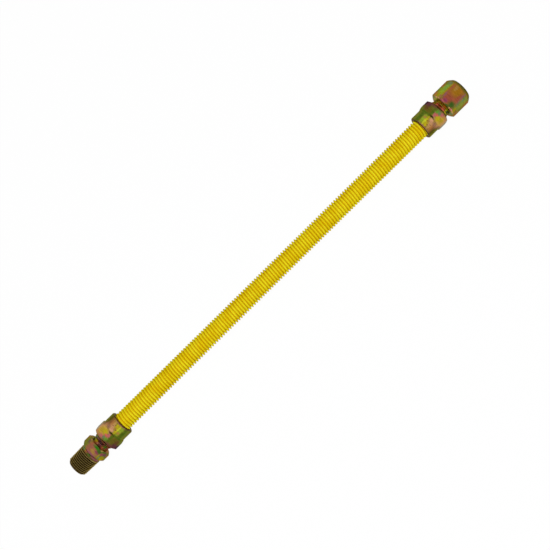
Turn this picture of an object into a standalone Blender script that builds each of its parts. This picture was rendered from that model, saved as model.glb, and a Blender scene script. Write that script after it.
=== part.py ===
# Corrugated metal hose with a flare nut and a pipe fitting at each end.
# World frame: +X runs from the male end to the female end, +Z is up, and the
# assembled hose lies on the plane z = 0 with its middle over the origin.
# Each hose end is drawn about its own Z axis, which points out of the hose.
# Stations along it are measured outwards from the mouth of the nut's collar.
import math

import bmesh
import bpy
import mathutils

MM = 0.001

# Corrugated hose
CREST_DIAMETER = 18.2 * MM
ROOT_DIAMETER = 14.6 * MM
HOSE_BORE = 13.6 * MM
CORRUGATION_PITCH = 2.93 * MM
HELIX_HAND = -1.0
EXPOSED_LENGTH = 395.0 * MM
LAST_CORRUGATION_MARGIN = 1.0 * MM
HOSE_SIDES = 16

# Plain cuff and flare at each end of the hose
CUFF_DIAMETER = 15.9 * MM
FLARE_DIAMETER = 18.6 * MM
FLARE_WALL = 0.8 * MM
FLARE_SLOPE = 1.0

# Flare nut
NUT_LENGTH = 23.3 * MM
NUT_ACROSS_FLATS = 25.8 * MM
NUT_FACE_DIAMETER = 23.6 * MM
NUT_CHAMFER_LENGTH = 2.1 * MM
NUT_BACK_CHAMFER_LENGTH = 1.9 * MM
NUT_MOUTH_CHAMFER = 0.7 * MM
COLLAR_LENGTH = 11.4 * MM
COLLAR_DIAMETER = 25.0 * MM
COLLAR_EDGE_RADIUS = 1.3 * MM
BACK_BORE_DIAMETER = 19.0 * MM
BACK_BORE_DEPTH = 5.8 * MM
LAND_DIAMETER = 16.5 * MM
LAND_LENGTH = 2.5 * MM

# Flare thread, drawn plain on both pieces and shown a little in front of the tightened nut,
# and the nose that seats in the flare
FLARE_THREAD_DIAMETER = 20.0 * MM
FLARE_THREAD_SHOWN = 1.4 * MM
NOSE_BORE = 12.0 * MM
NOSE_TIP_WALL = 0.45 * MM
THREAD_LEAD_IN = 0.5 * MM

# Male fitting
MALE_ACROSS_FLATS = 23.0 * MM
MALE_HEX_LENGTH = 11.05 * MM
MALE_BACK_FACE_DIAMETER = 22.8 * MM
MALE_BACK_CHAMFER_LENGTH = 1.4 * MM
MALE_FRONT_CHAMFER_LENGTH = 2.6 * MM
MALE_RELIEF_DIAMETER = 17.2 * MM
MALE_RELIEF_LENGTH = 6.55 * MM
MALE_RELIEF_SLOPE_LENGTH = 2.5 * MM
PIPE_THREAD_LENGTH = 17.9 * MM
PIPE_THREAD_END_DIAMETER = 20.7 * MM
PIPE_TAPER = 1.0 / 16.0
PIPE_END_CHAMFER = 2.0 * MM
PIPE_NECK_LENGTH = 2.9 * MM
PIPE_NECK_DIAMETER = 21.1 * MM
PIPE_MOUTH_CHAMFER = 0.6 * MM

# Female fitting
FEMALE_ACROSS_FLATS = 25.2 * MM
FEMALE_HEX_LENGTH = 25.85 * MM
FEMALE_RELIEF_DIAMETER = 18.0 * MM
FEMALE_RELIEF_LENGTH = 4.15 * MM
FEMALE_RELIEF_SLOPE_LENGTH = 1.8 * MM
FEMALE_BACK_CHAMFER_LENGTH = 2.9 * MM
FEMALE_FACE_DIAMETER = 22.4 * MM
FEMALE_FRONT_CHAMFER_LENGTH = 4.1 * MM
SOCKET_MOUTH_DIAMETER = 19.8 * MM
SOCKET_DEPTH = 17.0 * MM
SOCKET_MOUTH_CHAMFER = 0.6 * MM
SOCKET_DRILL_LENGTH = 2.5 * MM

# Clearance between surfaces that seat on or turn in each other
SEAT_GAP = 0.3 * MM

# Turn of each hexagon about +X, in degrees from a flat lying face down
MALE_NUT_TURN = 0.0
FEMALE_NUT_TURN = -12.5
MALE_FITTING_TURN = 17.2
FEMALE_FITTING_TURN = 24.9

HEX_EDGE_WIDTH = 0.3 * MM
TURNED_SIDES = 42
BORE_SIDES = 24
SHARP_ANGLE = math.radians(24.0)

# Base colour, metallic and roughness of each finish
FINISHES = {
    "yellow_coating": ((0.66, 0.49, 0.012), 0.0, 0.35),
    "gold_chromate": ((0.40, 0.24, 0.05), 1.0, 0.30),
    "olive_chromate": ((0.14, 0.11, 0.03), 1.0, 0.36),
    "bronze_chromate": ((0.30, 0.13, 0.04), 1.0, 0.32),
}

# Modelling allowances: how far a cutter runs past what it cuts, and merge distances
OVERSHOOT = 2.0 * MM
SAME_POINT = 0.001 * MM
HELIX_JOIN = 0.01 * MM


# Scene helpers

def clear_scene():
    for obj in list(bpy.data.objects):
        bpy.data.objects.remove(obj, do_unlink=True)


def new_collection(name):
    collection = bpy.data.collections.new(name)
    bpy.context.scene.collection.children.link(collection)
    return collection


def make_material(name):
    colour, metallic, roughness = FINISHES[name]
    material = bpy.data.materials.new(name)
    material.use_nodes = True
    shader = material.node_tree.nodes["Principled BSDF"]
    shader.inputs["Base Color"].default_value = (*colour, 1.0)
    shader.inputs["Metallic"].default_value = metallic
    shader.inputs["Roughness"].default_value = roughness
    return material


# Modelling helpers

def turned(name, profile, collection, sides=TURNED_SIDES):
    """Revolve (radius, height) points about Z, outer side first and top to bottom.

    A profile that starts and ends on the axis makes a solid; any other is closed into a ring.
    """
    mesh = bpy.data.meshes.new(name)
    points = [(radius, 0.0, height) for radius, height in profile]
    edges = [(i, i + 1) for i in range(len(points) - 1)]
    if profile[0][0] > 0.0:
        edges.append((len(points) - 1, 0))
    mesh.from_pydata(points, edges, [])
    obj = bpy.data.objects.new(name, mesh)
    collection.objects.link(obj)
    screw = obj.modifiers.new("Turn", "SCREW")
    screw.steps = sides
    screw.render_steps = sides
    screw.use_merge_vertices = True
    screw.merge_threshold = SAME_POINT
    return obj


def applied_mesh(obj):
    """The object's mesh with its modifiers applied."""
    graph = bpy.context.evaluated_depsgraph_get()
    return bpy.data.meshes.new_from_object(obj.evaluated_get(graph))


def as_cutter(obj):
    obj.hide_render = True
    obj.display_type = "WIRE"
    return obj


def combine(obj, operation, tool):
    modifier = obj.modifiers.new(operation.title(), "BOOLEAN")
    modifier.operation = operation
    modifier.object = tool


def finish_piece(obj, material):
    """Apply the modifiers, shade the turned faces smooth and give the piece its finish."""
    mesh = applied_mesh(obj)
    mesh.name = obj.name
    obj.modifiers.clear()
    obj.data = mesh
    mesh.shade_smooth()
    mesh.set_sharp_from_angle(angle=SHARP_ANGLE)
    mesh.materials.clear()
    mesh.materials.append(material)


def corner_radius(across_flats):
    return across_flats / math.sqrt(3.0)


def clear_of_corners(across_flats):
    """A turning radius that a faceted blank needs to stay outside the hexagon's corners."""
    return corner_radius(across_flats) / math.cos(math.pi / TURNED_SIDES) + HEX_EDGE_WIDTH


def chamfer(face_radius, face_height, length, across_flats):
    """The two profile points of a hexagon's end chamfer; a negative length runs upwards."""
    corner = corner_radius(across_flats)
    clear = clear_of_corners(across_flats)
    run = length * (clear - face_radius) / (corner - face_radius)
    return [(face_radius, face_height), (clear, face_height - run)]


def hexagon_bar(name, across_flats, low, high, cutters):
    """Hexagon bar about Z with slightly rounded long edges, as it comes from the mill."""
    bpy.ops.mesh.primitive_cylinder_add(
        vertices=6,
        radius=corner_radius(across_flats),
        depth=high - low,
    )
    bar = bpy.context.object
    bar.name = name
    for collection in list(bar.users_collection):
        collection.objects.unlink(bar)
    cutters.objects.link(bar)
    for vertex in bar.data.vertices:
        vertex.co.z += 0.5 * (high + low)
    bevel = bar.modifiers.new("Rounded edges", "BEVEL")
    bevel.width = HEX_EDGE_WIDTH
    bevel.segments = 2
    return as_cutter(bar)


# Stations along a hose end

def land_end():
    return BACK_BORE_DEPTH + LAND_LENGTH


def seat_shift():
    """Axial shift that leaves the seat gap square to a flare cone."""
    return SEAT_GAP * math.hypot(1.0, FLARE_SLOPE) / FLARE_SLOPE


def flare_start():
    """Where the cuff opens into the flare, one seat gap off the nut's shoulder."""
    side_room = 0.5 * (LAND_DIAMETER - CUFF_DIAMETER)
    return land_end() - side_room / FLARE_SLOPE + seat_shift()


def flare_tip():
    return flare_start() + 0.5 * (FLARE_DIAMETER - CUFF_DIAMETER) / FLARE_SLOPE


def flare_inside_station(radius):
    """Where the inside of the flare has the given radius."""
    wall = FLARE_WALL * math.hypot(1.0, FLARE_SLOPE)
    return flare_start() + (radius + wall - 0.5 * CUFF_DIAMETER) / FLARE_SLOPE


def nose_station(radius):
    """Where the fitting's nose, one seat gap inside the flare, has the given radius."""
    return flare_inside_station(radius) + seat_shift()


# Places along the whole hose

def male_reach():
    return MALE_RELIEF_LENGTH + MALE_HEX_LENGTH + PIPE_NECK_LENGTH + PIPE_THREAD_LENGTH


def female_reach():
    return FEMALE_RELIEF_LENGTH + FEMALE_HEX_LENGTH


def total_length():
    return male_reach() + NUT_LENGTH + EXPOSED_LENGTH + NUT_LENGTH + female_reach()


def collar_mouth_x(female_end):
    if female_end:
        return 0.5 * total_length() - female_reach() - NUT_LENGTH
    return -0.5 * total_length() + male_reach() + NUT_LENGTH


def hexagon_reach(across_flats, turn):
    """How far below its axis a turned hexagon reaches."""
    from_corner = abs(turn % 60.0 - 30.0)
    edge_loss = HEX_EDGE_WIDTH * math.tan(math.radians(15.0))
    return (corner_radius(across_flats) - edge_loss) * math.cos(math.radians(from_corner))


def axis_height():
    """Height of the hose's axis when its lowest hexagon touches the ground."""
    return max(
        hexagon_reach(NUT_ACROSS_FLATS, MALE_NUT_TURN),
        hexagon_reach(NUT_ACROSS_FLATS, FEMALE_NUT_TURN),
        hexagon_reach(MALE_ACROSS_FLATS, MALE_FITTING_TURN),
        hexagon_reach(FEMALE_ACROSS_FLATS, FEMALE_FITTING_TURN),
        0.5 * COLLAR_DIAMETER,
    )


def place(obj, female_end, turn=0.0):
    """Stand an end piece at its collar mouth, its Z axis out of the hose, turned about +X."""
    side = 1.0 if female_end else -1.0
    obj.rotation_mode = "QUATERNION"
    out_of_hose = mathutils.Quaternion((0.0, 1.0, 0.0), side * math.radians(90.0))
    about_hose = mathutils.Quaternion((1.0, 0.0, 0.0), math.radians(turn))
    obj.rotation_quaternion = about_hose @ out_of_hose
    obj.location = (collar_mouth_x(female_end), 0.0, axis_height())


# Pieces

def wave_helix(collection):
    """One wave of the wall, wound into a helix that runs past both ends of the hose."""
    length = EXPOSED_LENGTH + 2.0 * BACK_BORE_DEPTH
    turns = math.ceil(length / CORRUGATION_PITCH) + 3
    lead = HELIX_HAND * CORRUGATION_PITCH
    start = -0.5 * turns * lead
    half_wave = 0.5 * CORRUGATION_PITCH
    mesh = bpy.data.meshes.new("wave")
    points = [
        (0.5 * CREST_DIAMETER, 0.0, start + half_wave),
        (0.5 * ROOT_DIAMETER, 0.0, start),
        (0.5 * CREST_DIAMETER, 0.0, start - half_wave),
    ]
    mesh.from_pydata(points, [(0, 1), (1, 2)], [])
    wave = bpy.data.objects.new("wave", mesh)
    collection.objects.link(wave)
    screw = wave.modifiers.new("Helix", "SCREW")
    screw.steps = HOSE_SIDES
    screw.render_steps = HOSE_SIDES
    screw.screw_offset = lead
    screw.iterations = turns
    weld = wave.modifiers.new("Join turns", "WELD")
    weld.merge_threshold = HELIX_JOIN
    return wave


def square_ends(mesh):
    """Cut the helix square just inside each nut and fan each end shut to a point on its axis."""
    half_length = 0.5 * EXPOSED_LENGTH + BACK_BORE_DEPTH - LAST_CORRUGATION_MARGIN
    bm = bmesh.new()
    bm.from_mesh(mesh)
    for side in (1.0, -1.0):
        height = side * half_length
        cut = bmesh.ops.bisect_plane(
            bm,
            geom=[*bm.verts, *bm.edges, *bm.faces],
            plane_co=(0.0, 0.0, height),
            plane_no=(0.0, 0.0, side),
            clear_outer=True,
        )
        rim = [item for item in cut["geom_cut"] if isinstance(item, bmesh.types.BMEdge)]
        hub = bm.verts.new((0.0, 0.0, height))
        for edge in rim:
            bm.faces.new((*edge.verts, hub))
    bmesh.ops.recalc_face_normals(bm, faces=bm.faces)
    bm.to_mesh(mesh)
    bm.free()


def cuff_and_flare(name, female_end, cutters):
    """The plain end of the hose: a cuff that opens into the flare, solid to the axis."""
    profile = [
        (0.0, flare_tip()),
        (0.5 * FLARE_DIAMETER, flare_tip()),
        (0.5 * CUFF_DIAMETER, flare_start()),
        (0.5 * CUFF_DIAMETER, BACK_BORE_DEPTH - LAST_CORRUGATION_MARGIN - OVERSHOOT),
        (0.0, BACK_BORE_DEPTH - LAST_CORRUGATION_MARGIN - OVERSHOOT),
    ]
    end = as_cutter(turned(name, profile, cutters, BORE_SIDES))
    place(end, female_end)
    return end


def hose_bore(cutters):
    """The bore with its two flared mouths, cut through the hose from end to end."""
    radius = 0.5 * HOSE_BORE
    flare_from = 0.5 * EXPOSED_LENGTH + flare_inside_station(radius)
    mouth_end = 0.5 * EXPOSED_LENGTH + flare_tip() + OVERSHOOT
    mouth_radius = radius + FLARE_SLOPE * (mouth_end - flare_from)
    profile = [
        (0.0, mouth_end),
        (mouth_radius, mouth_end),
        (radius, flare_from),
        (radius, -flare_from),
        (mouth_radius, -mouth_end),
        (0.0, -mouth_end),
    ]
    return as_cutter(turned("hose_bore", profile, cutters, BORE_SIDES))


def make_hose(parts, cutters, material):
    wave = wave_helix(cutters)
    hose = bpy.data.objects.new("corrugated_hose", applied_mesh(wave))
    bpy.data.objects.remove(wave, do_unlink=True)
    parts.objects.link(hose)
    square_ends(hose.data)
    bore = hose_bore(cutters)
    middle = 0.5 * (collar_mouth_x(False) + collar_mouth_x(True))
    for obj in (hose, bore):
        obj.rotation_euler = (0.0, math.radians(90.0), 0.0)
        obj.location = (middle, 0.0, axis_height())
    for name, female_end in (("male_end_flare", False), ("female_end_flare", True)):
        combine(hose, "UNION", cuff_and_flare(name, female_end, cutters))
    combine(hose, "DIFFERENCE", bore)
    finish_piece(hose, material)


def make_nut(name, female_end, turn, parts, cutters, material):
    """Flare nut: collar and hexagon outside; back bore, land, shoulder and thread inside."""
    thread = 0.5 * FLARE_THREAD_DIAMETER + SEAT_GAP
    land = 0.5 * LAND_DIAMETER
    collar = 0.5 * COLLAR_DIAMETER
    edge = COLLAR_EDGE_RADIUS
    edge_turn = edge * (1.0 - math.sqrt(0.5))
    hexagon_back = chamfer(collar, COLLAR_LENGTH, -NUT_BACK_CHAMFER_LENGTH, NUT_ACROSS_FLATS)
    profile = [
        *chamfer(0.5 * NUT_FACE_DIAMETER, NUT_LENGTH, NUT_CHAMFER_LENGTH, NUT_ACROSS_FLATS),
        *reversed(hexagon_back),
        (collar, edge),
        (collar - edge_turn, edge_turn),
        (collar - edge, 0.0),
        (0.5 * BACK_BORE_DIAMETER, 0.0),
        (0.5 * BACK_BORE_DIAMETER, BACK_BORE_DEPTH),
        (land, BACK_BORE_DEPTH),
        (land, land_end()),
        (thread, land_end() + (thread - land) / FLARE_SLOPE),
        (thread, NUT_LENGTH - NUT_MOUTH_CHAMFER),
        (thread + NUT_MOUTH_CHAMFER, NUT_LENGTH),
    ]
    nut = turned(name, profile, parts)
    bar = hexagon_bar(name + "_bar", NUT_ACROSS_FLATS, -OVERSHOOT, NUT_LENGTH + OVERSHOOT, cutters)
    combine(nut, "INTERSECT", bar)
    place(nut, female_end, turn)
    place(bar, female_end, turn)
    finish_piece(nut, material)


def flare_nose(relief_radius, relief_slope_length):
    """Profile from the relief groove down to the nose's tip, shared by both fittings."""
    thread = 0.5 * FLARE_THREAD_DIAMETER
    nose = thread - THREAD_LEAD_IN
    tip = 0.5 * NOSE_BORE + NOSE_TIP_WALL
    thread_end = NUT_LENGTH + FLARE_THREAD_SHOWN
    return [
        (relief_radius, thread_end + relief_slope_length),
        (thread, thread_end),
        (thread, nose_station(nose) + THREAD_LEAD_IN),
        (nose, nose_station(nose)),
        (tip, nose_station(tip)),
        (0.5 * NOSE_BORE, nose_station(tip)),
    ]


def make_male_fitting(turn, parts, cutters, material):
    """Taper pipe thread, hexagon, relief groove, flare thread and nose on one bored bar."""
    hexagon_start = NUT_LENGTH + MALE_RELIEF_LENGTH
    hexagon_end = hexagon_start + MALE_HEX_LENGTH
    thread_start = hexagon_end + PIPE_NECK_LENGTH
    end = thread_start + PIPE_THREAD_LENGTH
    relief = 0.5 * MALE_RELIEF_DIAMETER
    neck = 0.5 * PIPE_NECK_DIAMETER
    thread_tip = 0.5 * PIPE_THREAD_END_DIAMETER
    thread_root = thread_tip + 0.5 * PIPE_TAPER * PIPE_THREAD_LENGTH
    bore = 0.5 * NOSE_BORE
    back = 0.5 * MALE_BACK_FACE_DIAMETER
    hexagon_back = chamfer(back, hexagon_start, -MALE_BACK_CHAMFER_LENGTH, MALE_ACROSS_FLATS)
    profile = [
        (thread_tip - PIPE_END_CHAMFER, end),
        (thread_tip + 0.5 * PIPE_TAPER * PIPE_END_CHAMFER, end - PIPE_END_CHAMFER),
        (thread_root, thread_start),
        (neck, thread_start),
        *chamfer(neck, hexagon_end, MALE_FRONT_CHAMFER_LENGTH, MALE_ACROSS_FLATS),
        *reversed(hexagon_back),
        (relief, hexagon_start),
        *flare_nose(relief, MALE_RELIEF_SLOPE_LENGTH),
        (bore, end - PIPE_MOUTH_CHAMFER),
        (bore + PIPE_MOUTH_CHAMFER, end),
    ]
    fitting = turned("male_adapter", profile, parts)
    bar = hexagon_bar("male_adapter_bar", MALE_ACROSS_FLATS, 0.0, end + OVERSHOOT, cutters)
    combine(fitting, "INTERSECT", bar)
    place(fitting, False, turn)
    place(bar, False, turn)
    finish_piece(fitting, material)


def make_female_fitting(turn, parts, cutters, material):
    """Hexagon with a taper thread inside, relief groove, flare thread and nose."""
    hexagon_start = NUT_LENGTH + FEMALE_RELIEF_LENGTH
    end = hexagon_start + FEMALE_HEX_LENGTH
    relief = 0.5 * FEMALE_RELIEF_DIAMETER
    bore = 0.5 * NOSE_BORE
    mouth = 0.5 * SOCKET_MOUTH_DIAMETER
    bottom = mouth - 0.5 * PIPE_TAPER * SOCKET_DEPTH
    face = 0.5 * FEMALE_FACE_DIAMETER
    hexagon_back = chamfer(relief, hexagon_start, -FEMALE_BACK_CHAMFER_LENGTH, FEMALE_ACROSS_FLATS)
    profile = [
        *chamfer(face, end, FEMALE_FRONT_CHAMFER_LENGTH, FEMALE_ACROSS_FLATS),
        *reversed(hexagon_back),
        *flare_nose(relief, FEMALE_RELIEF_SLOPE_LENGTH),
        (bore, end - SOCKET_DEPTH - SOCKET_DRILL_LENGTH),
        (bottom, end - SOCKET_DEPTH),
        (mouth, end - SOCKET_MOUTH_CHAMFER),
        (mouth + SOCKET_MOUTH_CHAMFER, end),
    ]
    fitting = turned("female_adapter", profile, parts)
    bar = hexagon_bar("female_adapter_bar", FEMALE_ACROSS_FLATS, 0.0, end + OVERSHOOT, cutters)
    combine(fitting, "INTERSECT", bar)
    place(fitting, True, turn)
    place(bar, True, turn)
    finish_piece(fitting, material)


def build():
    clear_scene()
    parts = new_collection("corrugated_hose_connector")
    cutters = new_collection("cutters")
    finish = {name: make_material(name) for name in FINISHES}
    make_hose(parts, cutters, finish["yellow_coating"])
    gold = finish["gold_chromate"]
    make_nut("male_end_nut", False, MALE_NUT_TURN, parts, cutters, gold)
    make_nut("female_end_nut", True, FEMALE_NUT_TURN, parts, cutters, gold)
    make_male_fitting(MALE_FITTING_TURN, parts, cutters, finish["olive_chromate"])
    make_female_fitting(FEMALE_FITTING_TURN, parts, cutters, finish["bronze_chromate"])


build()
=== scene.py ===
import math

import bmesh
import bpy
import numpy as np
from mathutils import Matrix, Vector


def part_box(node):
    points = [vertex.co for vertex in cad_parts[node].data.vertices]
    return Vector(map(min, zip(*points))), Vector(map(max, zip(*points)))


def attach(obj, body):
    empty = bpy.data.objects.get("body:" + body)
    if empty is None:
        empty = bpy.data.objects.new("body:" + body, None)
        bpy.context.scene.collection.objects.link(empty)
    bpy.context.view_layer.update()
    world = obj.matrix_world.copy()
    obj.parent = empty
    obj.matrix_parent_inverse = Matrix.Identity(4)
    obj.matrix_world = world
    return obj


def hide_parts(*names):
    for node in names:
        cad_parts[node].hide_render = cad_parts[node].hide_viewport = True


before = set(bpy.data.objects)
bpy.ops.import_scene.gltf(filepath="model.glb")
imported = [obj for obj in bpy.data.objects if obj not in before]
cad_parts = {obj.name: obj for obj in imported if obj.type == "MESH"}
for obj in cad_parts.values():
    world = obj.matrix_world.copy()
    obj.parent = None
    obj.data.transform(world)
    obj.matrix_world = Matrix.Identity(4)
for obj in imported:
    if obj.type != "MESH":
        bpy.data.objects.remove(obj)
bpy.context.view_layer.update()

MM = 0.001
FULL_TURN = 2.0 * math.pi
SIXTH = math.radians(60.0)
HALF_SIDE = 0.5 * SIXTH
SHARP_ANGLE = math.radians(35.0)
WELD_DISTANCE = 1e-7
NO_LENGTH = 1e-9
LONGEST_FILLET = 0.45

# Places read from the parts in model.glb. Stations count outwards from the mouth of each nut's collar.

MALE_NUT_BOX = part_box("male_end_nut")
FEMALE_NUT_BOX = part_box("female_end_nut")
MALE_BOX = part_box("male_adapter")
FEMALE_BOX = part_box("female_adapter")
HOSE_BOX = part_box("corrugated_hose")

AXIS_HEIGHT = 0.5 * (HOSE_BOX[0].z + HOSE_BOX[1].z)
MALE_COLLAR_X = MALE_NUT_BOX[1].x
FEMALE_COLLAR_X = FEMALE_NUT_BOX[0].x
NUT_LENGTH = FEMALE_NUT_BOX[1].x - FEMALE_NUT_BOX[0].x
MALE_END = MALE_COLLAR_X - MALE_BOX[0].x
FEMALE_END = FEMALE_BOX[1].x - FEMALE_COLLAR_X
MALE_NOSE = MALE_COLLAR_X - MALE_BOX[1].x
FEMALE_NOSE = FEMALE_BOX[0].x - FEMALE_COLLAR_X
HOSE_TIP = HOSE_BOX[1].x - FEMALE_COLLAR_X

# Corrugated hose
CREST_RADIUS = 9.5 * MM
ROOT_RADIUS = 7.2 * MM
PITCH = 2.93 * MM
WALL = 0.35 * MM
HELIX_HAND = -1.0
HELIX_START = 1.23 * MM
CORRUGATED_TO = 4.8 * MM
CREST_FULLNESS = 0.6
CUFF_RADIUS = 7.95 * MM
CUFF_FROM = 5.8 * MM
FLARE_FROM = 8.65 * MM
FLARE_RADIUS = 9.3 * MM
HOSE_BORE_RADIUS = 6.85 * MM
FLARE_LIP = 1.1 * MM
FLARE_OFFSET = 0.2 * MM
HOSE_EDGE = 0.3 * MM
HOSE_COLUMNS = 48
OUTER_SAMPLES = 10
INNER_SAMPLES = 4

# Flare nut
NUT_ACROSS_FLATS = 25.8 * MM
NUT_FACE_RADIUS = 11.8 * MM
NUT_CHAMFER = 2.1 * MM
NUT_BACK_CHAMFER = 1.9 * MM
COLLAR_LENGTH = 11.4 * MM
COLLAR_RADIUS = 12.5 * MM
COLLAR_EDGE = 1.35 * MM
BACK_BORE_RADIUS = 9.5 * MM
BACK_BORE_DEPTH = 5.8 * MM
LAND_RADIUS = 8.25 * MM
LAND_END = 8.3 * MM

# Threads: one pitch as (fraction of the pitch, share of the depth) pairs
FLARE_WAVE = ((0.0, 0.0), (0.14, 0.0), (0.48, 1.0), (0.64, 1.0))
PIPE_WAVE = ((0.0, 0.0), (0.12, 0.0), (0.46, 1.0), (0.66, 1.0))

# Flare thread and nose
FLARE_PITCH = 1.5875 * MM
FLARE_CREST = 10.1 * MM
FLARE_DEPTH = 0.8 * MM
THREAD_ROOM = 0.25 * MM
THREAD_SHOWN = 1.4 * MM
NUT_THREAD_GAP = 0.05 * MM
NUT_MOUTH_STEP = 0.2 * MM
NOSE_RADIUS = 9.5 * MM
NOSE_BORE = 6.0 * MM
NOSE_TIP = 6.45 * MM
BORE_SHOWN = 2.0 * MM

# Male fitting
MALE_ACROSS_FLATS = 23.0 * MM
MALE_HEX = (29.85 * MM, 40.9 * MM)
MALE_BACK_RADIUS = 11.4 * MM
MALE_BACK_CHAMFER = 1.4 * MM
MALE_FRONT_CHAMFER = 2.6 * MM
MALE_RELIEF_RADIUS = 8.6 * MM
MALE_RELIEF_AT = 27.2 * MM
PIPE_NECK_RADIUS = 10.55 * MM
PIPE_PITCH = 1.8143 * MM
PIPE_DEPTH = 1.1 * MM
PIPE_TIP_RADIUS = 10.35 * MM
PIPE_TAPER = 1.0 / 32.0
PIPE_THREAD_FROM = 42.3 * MM
PIPE_END_CHAMFER = 2.0 * MM
PIPE_FACE_STEP = 0.4 * MM
PIPE_BORE_CHAMFER = 0.6 * MM
PIPE_BORE_SHOWN = 1.5 * MM
THREAD_GAP = 0.02 * MM

# Female fitting
FEMALE_ACROSS_FLATS = 25.2 * MM
FEMALE_HEX_FROM = 27.45 * MM
FEMALE_RELIEF_RADIUS = 9.0 * MM
FEMALE_RELIEF_AT = 26.5 * MM
FEMALE_BACK_CHAMFER = 2.9 * MM
FEMALE_FACE_RADIUS = 11.2 * MM
FEMALE_FRONT_CHAMFER = 4.1 * MM
SOCKET_DEPTH = 17.0 * MM
SOCKET_MOUTH_RADIUS = 9.9 * MM
SOCKET_CHAMFER = 0.6 * MM
SOCKET_DRILL = 2.5 * MM
SOCKET_RUN_IN = 3.0 * PIPE_PITCH

# Turn of each hexagon about +X, from a flat lying face down
MALE_NUT_TURN = math.radians(0.0)
FEMALE_NUT_TURN = math.radians(-12.5)
MALE_FITTING_TURN = math.radians(17.2)
FEMALE_FITTING_TURN = math.radians(24.9)

# Degrees: a tint's angle on the female end's nut is this less its angle on the male end's
NUT_MIRROR = 47.0

# Rings that the lathe left: radians for each mm, and their share of the bump
TURNING_RATE = 21.0
TURNING_SHARE = 0.12

# Studio
WHITE = (1.0, 1.0, 1.0, 1.0)
FLOOR_GREY = (0.8, 0.8, 0.8, 1.0)
FLOOR_SIZE = 20.0
FLOOR_GLOW = 0.97
SKY_LIGHT = 0.36
KEY_PLACE = (-0.1, -0.5, 1.7)
KEY_SIZE = 0.8
KEY_POWER = 26.0

# Camera, from the size of the object in the frame and the turn of its hexagons
PIXEL = 0.945 * MM
FRAME_PIXELS = 550
SENSOR = 36.0
CAMERA_DISTANCE = 880 * PIXEL
CAMERA_LEAN = math.radians(23.5)
HOSE_SLOPE = math.radians(44.63)
CENTRE_SHIFT = (6.64 * PIXEL, 3.38 * PIXEL)


# Mesh helpers

def hexagon_radius(angle, across_flats, corner=0.4 * MM):
    """Polar radius of a hexagon with rounded corners; angle 0 is the middle of a flat."""
    flat = 0.5 * across_flats
    off_corner = HALF_SIDE - abs((angle + HALF_SIDE) % SIXTH - HALF_SIDE)
    centre = (flat - corner) / math.cos(HALF_SIDE)
    tangent = math.atan2(0.5 * corner, centre + corner * math.cos(HALF_SIDE))
    if off_corner >= tangent:
        return flat / math.cos(HALF_SIDE - off_corner)
    across = centre * math.sin(off_corner)
    return centre * math.cos(off_corner) + math.sqrt(corner * corner - across * across)


def hexagon_columns(turn, per_side=24, corner=math.radians(0.85)):
    """Angles round the axis, with extra columns over each rounded corner of the hexagon."""
    steps = [0.0, 0.5 * corner, corner]
    inner = SIXTH - 2.0 * corner
    steps += [corner + inner * (i + 1) / per_side for i in range(per_side)]
    steps.append(SIXTH - 0.5 * corner)
    first_corner = turn + HALF_SIDE
    angles = [first_corner + side * SIXTH + step for side in range(6) for step in steps]
    return angles + [first_corner + FULL_TURN]


def rounded(profile, segments=3):
    """Round each (station, radius, fillet) corner of a closed profile with a short curve.

    A fillet takes at most LONGEST_FILLET of the edge beside it; a fillet of 0 keeps the corner.
    """
    points = []
    count = len(profile)
    for index, (station, radius, fillet) in enumerate(profile):
        here = np.array((station, radius))
        if fillet <= 0.0:
            points.append(tuple(here))
            continue
        before = np.array(profile[index - 1][:2]) - here
        after = np.array(profile[(index + 1) % count][:2]) - here
        start = here + before * min(LONGEST_FILLET, fillet / max(np.linalg.norm(before), NO_LENGTH))
        end = here + after * min(LONGEST_FILLET, fillet / max(np.linalg.norm(after), NO_LENGTH))
        for step in range(segments + 1):
            part = step / segments
            inner_start = start * (1.0 - part) + here * part
            inner_end = here * (1.0 - part) + end * part
            points.append(tuple(inner_start * (1.0 - part) + inner_end * part))
    return points


def lathe(name, columns, profile_at, end_x, side):
    """Skin a closed profile that may change with the angle round the hose's axis.

    profile_at(angle) gives (station, radius) points; stations run from end_x along side * X.
    The last column repeats the first one turn on, so a helical thread closes on itself.
    """
    rings = [profile_at(angle) for angle in columns]
    rows = len(rings[0])
    points = []
    for angle, ring in zip(columns, rings):
        sine = math.sin(angle)
        cosine = math.cos(angle)
        for station, radius in ring:
            points.append((end_x + side * station, -radius * sine, AXIS_HEIGHT + radius * cosine))
    faces = []
    for column in range(len(columns) - 1):
        for row in range(rows):
            below = (row + 1) % rows
            corners = (
                column * rows + row,
                column * rows + below,
                (column + 1) * rows + below,
                (column + 1) * rows + row,
            )
            faces.append(corners if side > 0.0 else corners[::-1])
    return finished_mesh(name, points, faces)


def finished_mesh(name, points, faces):
    """Weld the skin, turn its faces outwards and shade it smooth but for its edges."""
    mesh = bpy.data.meshes.new(name)
    mesh.from_pydata(points, [], faces)
    bm = bmesh.new()
    bm.from_mesh(mesh)
    bmesh.ops.remove_doubles(bm, verts=bm.verts, dist=WELD_DISTANCE)
    bmesh.ops.dissolve_degenerate(bm, edges=bm.edges, dist=0.1 * WELD_DISTANCE)
    bmesh.ops.recalc_face_normals(bm, faces=bm.faces)
    bm.to_mesh(mesh)
    bm.free()
    mesh.shade_smooth()
    mesh.set_sharp_from_angle(angle=SHARP_ANGLE)
    obj = bpy.data.objects.new(name, mesh)
    bpy.context.scene.collection.objects.link(obj)
    return obj


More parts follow.
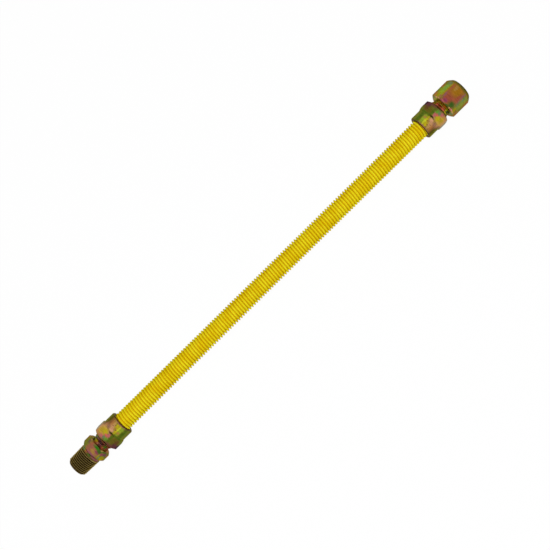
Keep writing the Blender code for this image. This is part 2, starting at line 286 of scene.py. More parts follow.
def helical_rows(angle, low, high, pitch, origin, hand, wave):
    """Points of a helical groove between two stations, from low to high.

    wave is one pitch as (fraction, value) pairs; the points are (station, value), and those
    beyond either station gather on it, so that every column holds the same number.
    """
    first = math.floor((low - origin) / pitch) - 2
    last = math.ceil((high - origin) / pitch) + 2
    turn = hand * angle / FULL_TURN
    rows = []
    for number in range(first, last + 1):
        for fraction, value in wave:
            station = origin + (number + turn + fraction) * pitch
            rows.append((min(max(station, low), high), value))
    return rows


def corner_radius(across_flats):
    return across_flats / math.sqrt(3.0)


def chamfer_station(radius, across_flats, face_radius, face_station, length):
    """Where a hexagon's end cone, from face_radius on the face, reaches the given radius."""
    share = (radius - face_radius) / (corner_radius(across_flats) - face_radius)
    return face_station + share * length


def flare_thread(angle, side, low, high):
    """The flare thread, the same helix on the fitting and in the nut."""
    return helical_rows(angle, low, high, FLARE_PITCH, 0.0, side, FLARE_WAVE)


# Pieces

def nut_profile(angle, turn, side):
    """Hexagon and collar outside; bore, 45 degree shoulder and flare thread inside."""
    across = hexagon_radius(angle - turn, NUT_ACROSS_FLATS)
    front = chamfer_station(across, NUT_ACROSS_FLATS, NUT_FACE_RADIUS, NUT_LENGTH, -NUT_CHAMFER)
    back = chamfer_station(across, NUT_ACROSS_FLATS, COLLAR_RADIUS, COLLAR_LENGTH, NUT_BACK_CHAMFER)
    major = FLARE_CREST + THREAD_ROOM
    minor = major - FLARE_DEPTH
    shoulder = LAND_END + minor - LAND_RADIUS
    mouth = NUT_LENGTH - (major - minor)
    outside = rounded([
        (NUT_LENGTH, major + NUT_MOUTH_STEP, 0.15 * MM),
        (NUT_LENGTH, NUT_FACE_RADIUS, 0.25 * MM),
        (front, across, 0.3 * MM),
        (back, across, 0.25 * MM),
        (COLLAR_LENGTH, COLLAR_RADIUS, 0.3 * MM),
        (0.0, COLLAR_RADIUS, COLLAR_EDGE),
        (0.0, BACK_BORE_RADIUS, 0.35 * MM),
        (BACK_BORE_DEPTH, BACK_BORE_RADIUS, 0.2 * MM),
        (BACK_BORE_DEPTH, LAND_RADIUS, 0.2 * MM),
        (LAND_END, LAND_RADIUS, 0.2 * MM),
    ])
    thread = []
    for station, depth in flare_thread(angle, side, shoulder, NUT_LENGTH - NUT_THREAD_GAP):
        radius = major - FLARE_DEPTH * depth
        radius = max(radius, minor + (station - mouth))
        run_in = min((station - shoulder) / FLARE_PITCH, 1.0)
        thread.append((station, minor + (radius - minor) * run_in))
    return outside + thread


def fitting_nose(angle, side, relief_radius, relief_at, nose_station):
    """From the relief groove over the flare thread and nose to the bore, outer side first."""
    base = nose_station + NOSE_RADIUS - NOSE_TIP
    rows = []
    for station, depth in reversed(flare_thread(angle, side, base, relief_at)):
        radius = FLARE_CREST - FLARE_DEPTH * depth
        radius = min(radius, NOSE_RADIUS + (station - base))
        slope = (relief_at - station) / (relief_at - NUT_LENGTH - THREAD_SHOWN)
        radius = min(radius, relief_radius + slope * (FLARE_CREST - relief_radius))
        rows.append((station, radius))
    nose = rounded([
        (base, NOSE_RADIUS, 0.0),
        (nose_station, NOSE_TIP, 0.1 * MM),
        (nose_station, NOSE_BORE, 0.15 * MM),
        (nose_station + BORE_SHOWN, NOSE_BORE, 0.0),
    ])
    return rows + nose


def male_profile(angle, turn):
    """Taper pipe thread, hexagon, relief groove, flare thread and nose."""
    side = -1.0
    hex_start, hex_end = MALE_HEX
    across = hexagon_radius(angle - turn, MALE_ACROSS_FLATS)
    front = chamfer_station(
        across, MALE_ACROSS_FLATS, PIPE_NECK_RADIUS, hex_end, -MALE_FRONT_CHAMFER)
    back = chamfer_station(across, MALE_ACROSS_FLATS, MALE_BACK_RADIUS, hex_start, MALE_BACK_CHAMFER)
    end = MALE_END
    mouth = rounded([
        (end - PIPE_BORE_SHOWN, NOSE_BORE, 0.0),
        (end - PIPE_BORE_CHAMFER, NOSE_BORE, 0.2 * MM),
        (end, NOSE_BORE + PIPE_BORE_CHAMFER, 0.2 * MM),
        (end, PIPE_TIP_RADIUS - PIPE_END_CHAMFER - PIPE_FACE_STEP, 0.2 * MM),
    ])
    thread = []
    for station, depth in reversed(helical_rows(
            angle, PIPE_THREAD_FROM, end - THREAD_GAP, PIPE_PITCH, PIPE_THREAD_FROM, side, PIPE_WAVE)):
        crest = PIPE_TIP_RADIUS + (end - station) * PIPE_TAPER
        run_out = min((station - PIPE_THREAD_FROM) / PIPE_PITCH, 1.0)
        radius = crest - PIPE_DEPTH * depth * run_out
        chamfer = PIPE_TIP_RADIUS - PIPE_END_CHAMFER + (end - station)
        thread.append((station, min(radius, chamfer)))
    body = rounded([
        (PIPE_THREAD_FROM, PIPE_NECK_RADIUS, 0.1 * MM),
        (hex_end, PIPE_NECK_RADIUS, 0.2 * MM),
        (front, across, 0.3 * MM),
        (back, across, 0.3 * MM),
        (hex_start, MALE_BACK_RADIUS, 0.2 * MM),
        (hex_start, MALE_RELIEF_RADIUS, 0.3 * MM),
    ])
    nose = fitting_nose(angle, side, MALE_RELIEF_RADIUS, MALE_RELIEF_AT, MALE_NOSE)
    return mouth + thread + body + nose


def female_profile(angle, turn):
    """Hexagon, relief groove, flare thread and nose outside; taper pipe thread in the socket."""
    side = 1.0
    across = hexagon_radius(angle - turn, FEMALE_ACROSS_FLATS)
    end = FEMALE_END
    front = chamfer_station(
        across, FEMALE_ACROSS_FLATS, FEMALE_FACE_RADIUS, end, -FEMALE_FRONT_CHAMFER)
    back = chamfer_station(
        across, FEMALE_ACROSS_FLATS, FEMALE_RELIEF_RADIUS, FEMALE_HEX_FROM, FEMALE_BACK_CHAMFER)
    bottom = SOCKET_MOUTH_RADIUS - SOCKET_DEPTH * PIPE_TAPER
    outside = rounded([
        (end, SOCKET_MOUTH_RADIUS + SOCKET_CHAMFER, 0.2 * MM),
        (end, FEMALE_FACE_RADIUS, 0.4 * MM),
        (front, across, 0.4 * MM),
        (back, across, 0.35 * MM),
        (FEMALE_HEX_FROM, FEMALE_RELIEF_RADIUS, 0.4 * MM),
    ])
    nose = fitting_nose(angle, side, FEMALE_RELIEF_RADIUS, FEMALE_RELIEF_AT, FEMALE_NOSE)
    drill = rounded([
        (end - SOCKET_DEPTH - SOCKET_DRILL, NOSE_BORE, 0.3 * MM),
        (end - SOCKET_DEPTH, bottom, 0.3 * MM),
    ])
    socket = []
    low = end - SOCKET_DEPTH
    for station, depth in helical_rows(
            angle, low, end - THREAD_GAP, PIPE_PITCH, low, side, PIPE_WAVE):
        minor = bottom + (station - low) * PIPE_TAPER
        run_in = min((station - low) / SOCKET_RUN_IN, 1.0)
        radius = minor + PIPE_DEPTH * (1.0 - depth) * run_in
        chamfer = SOCKET_MOUTH_RADIUS + SOCKET_CHAMFER - (end - station)
        socket.append((station, max(radius, chamfer)))
    return outside + nose + drill + socket


def hose_profile(angle):
    """Section of the whole hose: corrugated outside and inside, cuffs and flares at both ends.

    Its stations run from the mouth of the male end's collar to the female end.
    """
    length = FEMALE_COLLAR_X - MALE_COLLAR_X
    low = -CORRUGATED_TO
    high = length + CORRUGATED_TO

    def wall(station, fraction, crest, root):
        height = (0.5 + 0.5 * math.cos(fraction * FULL_TURN)) ** CREST_FULLNESS
        fade = min((station - low) / PITCH, (high - station) / PITCH, 1.0)
        return root + (crest - root) * height * fade

    def wave(samples):
        return [(index / samples, index / samples) for index in range(samples)]

    def surface(samples, crest, root):
        rows = helical_rows(angle, low, high, PITCH, HELIX_START, HELIX_HAND, wave(samples))
        return [(station, wall(station, fraction, crest, root)) for station, fraction in rows]

    def end_shape(place):
        tip = place(HOSE_TIP)
        return rounded([
            (place(CUFF_FROM), HOSE_BORE_RADIUS, HOSE_EDGE),
            (place(FLARE_FROM + FLARE_OFFSET), HOSE_BORE_RADIUS, HOSE_EDGE),
            (tip, FLARE_RADIUS - FLARE_LIP, HOSE_EDGE),
            (tip, FLARE_RADIUS, HOSE_EDGE),
            (place(FLARE_FROM), CUFF_RADIUS, HOSE_EDGE),
            (place(CUFF_FROM), CUFF_RADIUS, HOSE_EDGE),
        ])

    inner = surface(INNER_SAMPLES, CREST_RADIUS - WALL, ROOT_RADIUS - WALL)
    outer = surface(OUTER_SAMPLES, CREST_RADIUS, ROOT_RADIUS)
    far_end = end_shape(lambda station: length + station)
    near_end = end_shape(lambda station: -station)
    return inner + far_end + outer[::-1] + near_end[::-1]


def make_pieces():
    """Make the five pieces, each in place of its node and on its node's body."""
    round_columns = [FULL_TURN * index / HOSE_COLUMNS for index in range(HOSE_COLUMNS + 1)]
    hose = lathe("hose", round_columns, hose_profile, MALE_COLLAR_X, 1.0)
    male_nut = lathe(
        "flare_nut_male_end", hexagon_columns(MALE_NUT_TURN),
        lambda angle: nut_profile(angle, MALE_NUT_TURN, -1.0), MALE_COLLAR_X, -1.0)
    female_nut = lathe(
        "flare_nut_female_end", hexagon_columns(FEMALE_NUT_TURN),
        lambda angle: nut_profile(angle, FEMALE_NUT_TURN, 1.0), FEMALE_COLLAR_X, 1.0)
    male = lathe(
        "male_fitting", hexagon_columns(MALE_FITTING_TURN),
        lambda angle: male_profile(angle, MALE_FITTING_TURN), MALE_COLLAR_X, -1.0)
    female = lathe(
        "female_fitting", hexagon_columns(FEMALE_FITTING_TURN),
        lambda angle: female_profile(angle, FEMALE_FITTING_TURN), FEMALE_COLLAR_X, 1.0)
    for piece, node, body, slot in (
        (hose, "corrugated_hose", "hose", "hose_coating"),
        (male_nut, "male_end_nut", "male_nut", "nut_plating"),
        (female_nut, "female_end_nut", "female_nut", "nut_plating"),
        (male, "male_adapter", "male_fitting", "male_fitting_plating"),
        (female, "female_adapter", "female_fitting", "female_fitting_plating"),
    ):
        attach(piece, body)
        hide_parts(node)
    return hose, male_nut, female_nut, male, female


# Materials

# Tints of the finishes, 0 to 255 in sRGB; besides the plating's own colours, some are painted light and
# shade: the highlight and shade tints, and the lit and shaded faces in the tables below
TINTS = {
    "gold": (178, 148, 46),
    "green_gold": (182, 164, 28),
    "tan": (190, 140, 94),
    "tan_gold": (182, 142, 74),
    "salmon": (202, 148, 110),
    "orange_brown": (168, 112, 62),
    "brown": (132, 88, 48),
    "dark_brown": (96, 70, 34),
    "brown_pink": (148, 104, 82),
    "grey_pink": (154, 112, 100),
    "rose": (182, 98, 98),
    "rose_highlight": (236, 140, 148),
    "coral": (206, 100, 84),
    "mauve": (140, 62, 84),
    "soft_mauve": (138, 84, 92),
    "magenta": (168, 66, 100),
    "maroon": (106, 60, 52),
    "plum_brown": (92, 52, 56),
    "plum_shade": (64, 36, 52),
    "purple_grey": (102, 66, 76),
    "amber_highlight": (236, 198, 118),
    "teal_grey": (94, 130, 94),
    "dark_teal": (44, 86, 62),
    "grey_green": (108, 122, 82),
    "green": (92, 142, 44),
    "grass": (46, 112, 20),
    "forest": (62, 92, 32),
    "moss": (78, 100, 24),
    "leaf": (138, 158, 42),
    "lime": (188, 192, 46),
    "light_olive": (128, 138, 58),
    "fresh_olive": (120, 154, 64),
    "olive_gold": (154, 142, 26),
    "olive": (106, 114, 42),
    "olive_brown": (100, 90, 28),
    "dark_olive": (84, 76, 26),
    "deep_olive_shade": (52, 46, 16),
    "pink_bronze": (152, 90, 72),
    "bronze": (154, 88, 52),
    "golden_brown": (152, 104, 24),
    "old_gold": (160, 122, 58),
    "red_brown": (150, 76, 54),
    "brick": (134, 40, 34),
    "thread_crest": (150, 130, 70),
    "thread_root_shade": (66, 52, 30),
    "lemon": (231, 217, 30),
    "yellow": (224, 199, 14),
    "groove_shade_yellow": (210, 168, 4),
}


def linear(name):
    """A tint as the linear colour that Blender's sockets take."""
    channels = []
    for value in TINTS[name]:
        share = value / 255.0
        if share <= 0.04045:
            channels.append(share / 12.92)
        else:
            channels.append(((share + 0.055) / 1.055) ** 2.4)
    return (*channels, 1.0)


def plug(tree, socket, value):
    """Feed a socket from another one, or set it."""
    if isinstance(value, bpy.types.NodeSocket):
        tree.links.new(value, socket)
    else:
        socket.default_value = value


def math_node(tree, operation, *values):
    node = tree.nodes.new("ShaderNodeMath")
    node.operation = operation
    for socket, value in zip(node.inputs, values):
        plug(tree, socket, value)
    return node.outputs[0]


def vector_node(tree, operation, *values):
    node = tree.nodes.new("ShaderNodeVectorMath")
    node.operation = operation
    for socket, value in zip(node.inputs, values):
        plug(tree, socket, value)
    return node.outputs["Value" if operation == "LENGTH" else "Vector"]


def mapped(tree, value, start, end, low=0.0, high=1.0, kind="SMOOTHSTEP"):
    node = tree.nodes.new("ShaderNodeMapRange")
    node.interpolation_type = kind
    for socket, item in zip(node.inputs, (value, start, end, low, high)):
        plug(tree, socket, item)
    return node.outputs["Result"]


def mixed(tree, share, first, second, blend="MIX"):
    """Mix two colours; inputs 6 and 7 and output 2 are the node's colour sockets."""
    node = tree.nodes.new("ShaderNodeMix")
    node.data_type = "RGBA"
    node.blend_type = blend
    plug(tree, node.inputs["Factor"], share)
    plug(tree, node.inputs[6], first)
    plug(tree, node.inputs[7], second)
    return node.outputs[2]


def noise(tree, coordinates, scale, detail=2.0):
    node = tree.nodes.new("ShaderNodeTexNoise")
    node.inputs["Scale"].default_value = scale
    node.inputs["Detail"].default_value = detail
    tree.links.new(coordinates, node.inputs["Vector"])
    return node


def combined(tree, x, y, z):
    node = tree.nodes.new("ShaderNodeCombineXYZ")
    for socket, value in zip(node.inputs, (x, y, z)):
        plug(tree, socket, value)
    return node.outputs[0]


def separated(tree, vector):
    node = tree.nodes.new("ShaderNodeSeparateXYZ")
    tree.links.new(vector, node.inputs[0])
    return node.outputs


def add_bump(tree, shader, height, strength, distance):
    bump = tree.nodes.new("ShaderNodeBump")
    bump.inputs["Strength"].default_value = strength
    bump.inputs["Distance"].default_value = distance
    tree.links.new(height, bump.inputs["Height"])
    tree.links.new(bump.outputs["Normal"], shader.inputs["Normal"])


def new_finish(name, metallic, roughness):
    """A material with its node tree, shader and the piece's own coordinates."""
    material = bpy.data.materials.new(name)
    material.use_nodes = True
    tree = material.node_tree
    shader = tree.nodes["Principled BSDF"]
    shader.inputs["Metallic"].default_value = metallic
    shader.inputs["Roughness"].default_value = roughness
    own = tree.nodes.new("ShaderNodeTexCoord").outputs["Object"]
    return material, tree, shader, own


def polar_place(tree, own, end_x, side, mirror=0.0):
    """Station from the collar's mouth in mm, angle round the hose in degrees, radius in mm.

    mirror is 0, or the sum of an angle and its mirror image on a piece turned end for end.
    """
    parts = separated(tree, own)
    height = math_node(tree, "SUBTRACT", parts["Z"], AXIS_HEIGHT)
    off_side = math_node(tree, "MULTIPLY", parts["Y"], -1.0)
    angle = math_node(tree, "DEGREES", math_node(tree, "ARCTAN2", off_side, height))
    if mirror:
        angle = math_node(tree, "SUBTRACT", mirror, angle)
    along = math_node(tree, "SUBTRACT", parts["X"], end_x)
    station = math_node(tree, "MULTIPLY", along, side / MM)
    radius = vector_node(tree, "LENGTH", combined(tree, 0.0, off_side, height))
    return combined(tree, station, angle, math_node(tree, "DIVIDE", radius, MM))


def wandering(tree, place, own, scale, station_drift, angle_drift):
    """The same place pushed about by noise, so that the edges of tints run unevenly."""
    drift = vector_node(tree, "SUBTRACT", noise(tree, own, scale).outputs["Color"], (0.5, 0.5, 0.5))
    push = vector_node(tree, "MULTIPLY", drift, (station_drift, angle_drift, 0.0))
    return vector_node(tree, "ADD", place, push)


def painted(tree, place, base, patches, softness=0.6):
    """Lay soft oval patches of tint, painted light and painted shade over a base; each is (tint, station
    mm, angle deg, length mm, spread deg).
    """
    colour = base
    for tint, station, angle, length, spread in patches:
        offset = vector_node(tree, "SUBTRACT", place, (station, angle, 0.0))
        scaled = vector_node(tree, "MULTIPLY", offset, (2.0 / length, 2.0 / spread, 0.0))
        distance = vector_node(tree, "LENGTH", scaled)
        share = mapped(tree, distance, 1.0 + softness, 1.0 - softness)
        colour = mixed(tree, share, colour, linear(tint))
    return colour


# Nut tints: the plating's iridescent colours together with painted light and shade; faces turned to the
# light are painted gold and tan, faces turned away darker olive, brown and plum
NUT_TINTS_AND_PAINTED_LIGHT = (
    ("olive", 5.5, -52, 20, 34),
    ("dark_olive", 4.5, -27, 12, 24),
    ("maroon", 9.8, -27, 4.0, 20),
    ("brown", 5.0, -15, 11, 14),
    ("orange_brown", 5.0, -5, 8.0, 12),
    ("brown_pink", 9.6, -8, 4.4, 18),
    ("tan_gold", 4.0, 5, 8.0, 12),
    ("tan", 7.0, 8, 6.0, 20),
    ("salmon", 9.6, 14, 3.6, 22),
    ("green_gold", 3.8, 20, 7.0, 14),
    ("old_gold", 7.0, 22, 3.0, 10),
    ("green_gold", 6.0, 32, 12, 14),
    ("lime", 4.0, 34, 6.0, 8),
    ("leaf", 6.0, 46, 12, 16),
    ("old_gold", 7.9, 44, 2.6, 14),
    ("brown", 6.8, 27, 1.3, 6),
    ("brown", 4.2, 14, 1.0, 6),
    ("brown", 5.6, 3, 1.1, 5),
    ("moss", 6.0, 66, 14, 18),
    ("olive", 5.0, 86, 14, 24),
    # Painted highlight along the collar's rounded mouth edge
    ("brown_pink", 0.5, 24, 1.4, 60),
    ("grey_pink", 17.0, -42, 12, 26),
    ("tan", 16.0, -24, 14, 22),
    ("rose", 19.6, -6, 5.0, 34),
    ("tan", 12.8, -4, 2.4, 50),
    ("gold", 16.4, -16, 9.0, 22),
    ("gold", 14.6, 0, 6.5, 24),
    ("green_gold", 15.2, 1, 4.6, 22),
    ("rose", 15.2, 22, 5.0, 13),
    ("coral", 17.2, 14, 3.0, 14),
    ("grey_green", 19.3, 12, 3.4, 14),
    ("green", 19.2, 23, 4.4, 11),
    ("maroon", 22.0, 60, 4.0, 80),
    ("moss", 15.8, 36, 9.0, 12),
    ("olive_brown", 15.6, 54, 9.0, 30),
    # Painted shade on the faces turned to the side, away from the light
    ("dark_brown", 17.0, 72, 8.0, 18),
    ("plum_brown", 20.0, 76, 4.6, 26),
    ("plum_shade", 19.6, 88, 6.0, 12),
    # Painted shade where the hexagon steps down to the collar
    ("deep_olive_shade", 12.0, 24, 1.4, 22),
    ("moss", 11.8, 62, 1.4, 50),
    # Painted shade: a dark band round the hose at the collar's mouth
    ("plum_shade", -0.4, 20, 1.3, 400),
)

# Male fitting tints: iridescent colours with painted light and shade on the faces, a painted highlight,
# and waist tints painted lighter against the shade between hexagon and nut
MALE_TINTS_AND_PAINTED_LIGHT = (
    ("olive", 35.4, -40, 14, 54),
    ("purple_grey", 32.4, -27, 4.2, 20),
    ("teal_grey", 40.6, -28, 2.6, 26),
    ("olive_gold", 40.4, -13, 2.2, 10),
    ("bronze", 32.0, -4, 5.0, 14),
    ("pink_bronze", 35.4, 18, 11, 62),
    ("old_gold", 36.4, 22, 4.4, 26),
    ("soft_mauve", 39.4, 24, 1.8, 50),
    ("mauve", 34.6, 38, 2.0, 18),
    ("grass", 31.3, 26, 3.0, 34),
    ("forest", 32.2, 44, 3.6, 22),
    ("mauve", 33.5, 64, 3.2, 16),
    ("olive_gold", 36.4, 54, 4.2, 11),
    ("grey_green", 37.6, 65, 3.6, 10),
    ("purple_grey", 32.8, 84, 4.0, 24),
    ("olive_gold", 37.4, 85, 5.0, 26),
    ("forest", 30.7, 70, 1.6, 26),
    ("mauve", 40.6, 38, 1.4, 30),
    ("soft_mauve", 40.8, 76, 2.0, 44),
    ("forest", 41.9, 22, 1.6, 30),
    ("soft_mauve", 42.0, 64, 1.6, 44),
    ("tan", 30.0, -20, 0.9, 22),
    # Painted highlight on the back chamfer of the hexagon
    ("amber_highlight", 30.1, 52, 0.9, 16),
    ("purple_grey", 25.4, 0, 2.6, 60),
    ("teal_grey", 26.6, -33, 3.2, 20),
    ("lime", 28.0, -22, 2.8, 16),
    ("green_gold", 27.6, -8, 3.6, 16),
    ("salmon", 28.9, 6, 1.6, 14),
    ("mauve", 28.6, 24, 2.4, 24),
    ("rose", 28.9, 44, 1.4, 22),
    ("tan", 28.6, 76, 2.0, 24),
    ("grey_pink", 26.8, 22, 1.8, 24),
    ("mauve", 25.8, 41, 1.8, 16),
    ("green", 26.6, 61, 3.2, 24),
    ("magenta", 27.0, 82, 2.4, 16),
)

# Female fitting tints: iridescent colours with painted light and shade on the faces, painted highlights,
# painted shade at the socket, and waist tints painted lighter against its shade
FEMALE_TINTS_AND_PAINTED_LIGHT = (
    ("leaf", 38.0, -30, 14, 46),
    ("olive_gold", 32.8, -36, 4.6, 20),
    ("fresh_olive", 43.8, -30, 10, 34),
    ("grey_green", 48.6, -32, 3.6, 34),
    ("brown_pink", 31.6, -16, 6.0, 14),
    ("olive_gold", 42.0, -13, 18, 12),
    ("orange_brown", 32.6, -52, 6.0, 10),
    ("bronze", 41.0, 24, 26, 62),
    ("red_brown", 36.0, 20, 7.0, 50),
    ("golden_brown", 45.8, 22, 11, 52),
    ("old_gold", 46.8, 11, 5.0, 12),
    ("mauve", 32.2, 14, 3.8, 22),
    ("red_brown", 42.0, 45, 9.0, 12),
    ("forest", 32.9, 44, 6.6, 24),
    ("soft_mauve", 36.0, -3, 6.0, 6),
    ("bronze", 45.0, -3, 12, 6),
    ("light_olive", 40.0, 80, 26, 42),
    ("olive_gold", 32.8, 78, 4.4, 22),
    ("brown", 33.0, 90, 3.0, 10),
    ("soft_mauve", 44.0, 53, 15, 4),
    ("teal_grey", 45.4, 68, 5.0, 11),
    ("grey_green", 38.4, 64, 6.0, 12),
    ("olive_brown", 51.4, 24, 2.4, 700),
    # Painted shade: a dark ring round the socket's mouth, carried into the socket
    ("deep_olive_shade", 52.9, 24, 1.6, 1600),
    ("grey_green", 28.8, -44, 2.6, 36),
    ("tan", 30.0, -34, 1.6, 24),
    ("rose", 30.0, 6, 1.6, 22),
    ("forest", 29.6, 32, 2.0, 16),
    ("grey_green", 28.8, 88, 2.8, 34),
    ("tan", 30.2, 78, 1.4, 24),
    # Painted highlights on the corners of the hexagon's back chamfer
    ("amber_highlight", 29.5, -13, 0.9, 11),
    ("rose_highlight", 29.7, -3, 0.9, 9),
    ("amber_highlight", 29.4, 47, 0.8, 8),
    ("rose_highlight", 29.8, 58, 1.3, 12),
    # Painted light: the waist lightened against the shade there
    ("lime", 28.3, 6, 1.5, 100),
    ("lime", 28.0, 52, 1.4, 22),
    ("olive_gold", 25.8, -30, 3.4, 24),
    ("coral", 25.6, -8, 2.4, 20),
    ("brick", 25.8, 10, 2.4, 30),
    ("coral", 25.8, 36, 2.6, 22),
    ("green_gold", 25.6, 60, 2.2, 20),
    ("lime", 27.2, 58, 1.2, 12),
    ("dark_teal", 27.2, 72, 1.6, 14),
)


def chromate(name, end_x, side, patches, base, mirror=0.0, thread=None):
    """Iridescent chromate over zinc plate: drifting tints, turning lines and a soft sheen; the tints also
    hold painted light, painted shade and painted highlights.
    """
    material, tree, shader, own = new_finish(name, metallic=1.0, roughness=0.3)
    shader.inputs["Specular Tint"].default_value = (0.7, 0.62, 0.45, 1.0)
    place = polar_place(tree, own, end_x, side, mirror)
    loose = wandering(tree, place, own, scale=420.0, station_drift=2.0, angle_drift=12.0)
    ground = mixed(
        tree, mapped(tree, noise(tree, own, 160.0).outputs["Fac"], 0.4, 0.6),
        linear(base[0]), linear(base[1]))
    colour = painted(tree, loose, ground, patches)
    if thread:
        colour = thread(tree, place, colour)
    fine = noise(tree, own, 1900.0, detail=3.0).outputs["Fac"]
    grain = mapped(tree, fine, 0.3, 0.7, low=0.95, high=1.04, kind="LINEAR")
    round_the_axis = vector_node(tree, "MULTIPLY", place, (1.7, 0.04, 0.0))
    rings = noise(tree, round_the_axis, 1.0, detail=1.0).outputs["Fac"]
    ring_tone = mapped(tree, rings, 0.35, 0.65, low=0.86, high=1.1)
    tone = math_node(tree, "MULTIPLY", grain, ring_tone)
    colour = mixed(tree, 1.0, colour, combined(tree, tone, tone, tone), "MULTIPLY")
    tree.links.new(colour, shader.inputs["Base Color"])
    cloud = noise(tree, own, 330.0).outputs["Fac"]
    tree.links.new(mapped(tree, cloud, 0.35, 0.65, low=0.26, high=0.42), shader.inputs["Roughness"])
    add_turning_lines(tree, shader, place, fine)
    return material


def add_turning_lines(tree, shader, place, fine):
    """Bump of the fine rings that the lathe left, with the grain of the plating."""
    station = separated(tree, place)["X"]
    waves = math_node(tree, "SINE", math_node(tree, "MULTIPLY", station, TURNING_RATE))
    height = math_node(tree, "MULTIPLY_ADD", waves, TURNING_SHARE, fine)
    add_bump(tree, shader, height, strength=0.25, distance=0.04 * MM)


def pipe_thread_painted_shade(tree, place, colour):
    """Painted shade on the pipe thread: dark roots and brighter crests."""
    parts = separated(tree, place)
    station = parts["X"]
    end_radius = (PIPE_TIP_RADIUS + MALE_END * PIPE_TAPER) / MM
    crest = math_node(tree, "MULTIPLY_ADD", station, -PIPE_TAPER, end_radius)
    depth = math_node(tree, "SUBTRACT", crest, parts["Z"])
    # Painted shade in the thread's roots, by depth below the crest
    groove = mixed(tree, mapped(tree, depth, 0.1, 0.7), linear("thread_crest"), linear("thread_root_shade"))
    on_thread = mapped(tree, station, PIPE_THREAD_FROM / MM - 0.2, PIPE_THREAD_FROM / MM + 0.8)
    return mixed(tree, on_thread, colour, groove)


def yellow_coating():
    """Yellow coating on the corrugated tube, with painted shade: deeper in tone down in the grooves."""
    material, tree, shader, own = new_finish("yellow_coating", metallic=0.1, roughness=0.5)
    radius = separated(tree, polar_place(tree, own, MALE_COLLAR_X, 1.0))["Z"]
    # Painted shade: the deeper yellow is laid into the grooves by radius
    out_of_groove_shade = mapped(tree, radius, ROOT_RADIUS / MM, 0.5 * (ROOT_RADIUS + CREST_RADIUS) / MM)
    cloud = noise(tree, own, 90.0).outputs["Fac"]
    crest = mixed(tree, mapped(tree, cloud, 0.3, 0.7), linear("yellow"), linear("lemon"))
    colour = mixed(tree, out_of_groove_shade, linear("groove_shade_yellow"), crest)
    tree.links.new(colour, shader.inputs["Base Color"])
    shader.inputs["Specular IOR Level"].default_value = 0.0
    shader.inputs["Specular Tint"].default_value = linear("lemon")
    add_bump(tree, shader, noise(tree, own, 900.0).outputs["Fac"], strength=0.2, distance=0.1 * MM)
    return material


def dress(hose, male_nut, female_nut, male, female):
    """Give each piece its finish."""
    nut_base = ("olive", "olive_brown")
    fitting_base = ("olive", "bronze")
    for piece, finish in (
        (hose, yellow_coating()),
        (male_nut, chromate("nut_chromate_male", MALE_COLLAR_X, -1.0, NUT_TINTS_AND_PAINTED_LIGHT, nut_base)),
        (female_nut, chromate(
            "nut_chromate_female", FEMALE_COLLAR_X, 1.0, NUT_TINTS_AND_PAINTED_LIGHT, nut_base, mirror=NUT_MIRROR)),
        (male, chromate(
            "male_fitting_chromate", MALE_COLLAR_X, -1.0, MALE_TINTS_AND_PAINTED_LIGHT, fitting_base,
            thread=pipe_thread_painted_shade)),
        (female, chromate(
            "female_fitting_chromate", FEMALE_COLLAR_X, 1.0, FEMALE_TINTS_AND_PAINTED_LIGHT, fitting_base)),
    ):
        piece.data.materials.append(finish)


# Studio

def seen_directly(tree):
    """1 for camera, glossy and transmission rays, which see the surroundings white, and else 0."""
    path = tree.nodes.new("ShaderNodeLightPath")
    seen = math_node(tree, "MAXIMUM", path.outputs["Is Camera Ray"], path.outputs["Is Glossy Ray"])
    return math_node(tree, "MAXIMUM", seen, path.outputs["Is Transmission Ray"])


def show_mix(tree, output_type, share, plain, shown):
    """Send a mix of two shaders to the output; a share of 1 is the second one alone."""
    mix = tree.nodes.new("ShaderNodeMixShader")
    output = tree.nodes.new(output_type)
    tree.links.new(share, mix.inputs["Fac"])
    tree.links.new(plain, mix.inputs[1])
    tree.links.new(shown, mix.inputs[2])
    tree.links.new(mix.outputs[0], output.inputs["Surface"])


def make_floor():
    """A pale floor that looks nearly white and keeps a trace of the shadow."""
    bpy.ops.mesh.primitive_plane_add(size=FLOOR_SIZE, location=(0.0, 0.0, 0.0))
    floor = bpy.context.object
    floor.name = "floor"
    material = bpy.data.materials.new("pale_floor")
    material.use_nodes = True
    tree = material.node_tree
    tree.nodes.clear()
    diffuse = tree.nodes.new("ShaderNodeBsdfDiffuse")
    diffuse.inputs["Color"].default_value = FLOOR_GREY
    glow = tree.nodes.new("ShaderNodeEmission")
    glow.inputs["Color"].default_value = WHITE
    share = math_node(tree, "MULTIPLY", seen_directly(tree), FLOOR_GLOW)
    show_mix(tree, "ShaderNodeOutputMaterial", share, diffuse.outputs[0], glow.outputs[0])
    floor.data.materials.append(material)


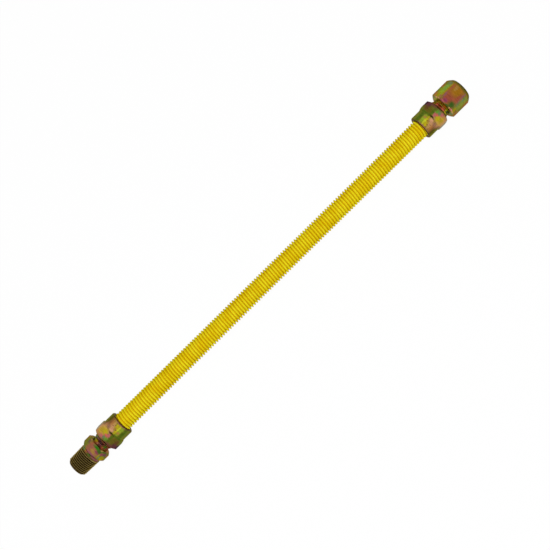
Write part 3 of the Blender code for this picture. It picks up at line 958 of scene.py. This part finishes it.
def sky(tree, strength):
    node = tree.nodes.new("ShaderNodeBackground")
    node.inputs["Color"].default_value = WHITE
    node.inputs["Strength"].default_value = strength
    return node.outputs[0]


def make_world():
    """A soft white sky, white where it is seen and weaker where it lights."""
    world = bpy.data.worlds.new("studio")
    bpy.context.scene.world = world
    world.use_nodes = True
    tree = world.node_tree
    tree.nodes.clear()
    show_mix(tree, "ShaderNodeOutputWorld", seen_directly(tree), sky(tree, SKY_LIGHT), sky(tree, 1.0))


def make_key():
    """One large soft lamp over the hose, left out of the reflections."""
    data = bpy.data.lights.new("key", "AREA")
    data.shape = "RECTANGLE"
    data.size = KEY_SIZE
    data.size_y = KEY_SIZE
    data.energy = KEY_POWER
    lamp = bpy.data.objects.new("key", data)
    bpy.context.scene.collection.objects.link(lamp)
    lamp.location = KEY_PLACE
    lamp.visible_glossy = False
    lamp.rotation_euler = (-Vector(KEY_PLACE)).to_track_quat("-Z", "Y").to_euler()


def make_camera():
    """Above the hose and leaning a little to its -Y side, rolled so that the hose rises to the right."""
    along = Vector((1.0, 0.0, 0.0))
    back = Vector((0.0, -math.sin(CAMERA_LEAN), math.cos(CAMERA_LEAN)))
    across = back.cross(along)
    right = math.cos(HOSE_SLOPE) * along - math.sin(HOSE_SLOPE) * across
    up = math.sin(HOSE_SLOPE) * along + math.cos(HOSE_SLOPE) * across
    centre = Vector((0.0, 0.0, AXIS_HEIGHT))
    place = centre + CENTRE_SHIFT[0] * right + CENTRE_SHIFT[1] * up + CAMERA_DISTANCE * back
    data = bpy.data.cameras.new("camera")
    data.sensor_fit = "HORIZONTAL"
    data.sensor_width = SENSOR
    data.lens = SENSOR * CAMERA_DISTANCE / (FRAME_PIXELS * PIXEL)
    data.clip_start = 0.01
    camera = bpy.data.objects.new("camera", data)
    bpy.context.scene.collection.objects.link(camera)
    turn = Matrix((right, up, back)).transposed().to_4x4()
    camera.matrix_world = Matrix.Translation(place) @ turn
    bpy.context.scene.camera = camera


dress(*make_pieces())
make_floor()
make_world()
make_key()
make_camera()
bpy.context.scene.view_settings.view_transform = "Standard"
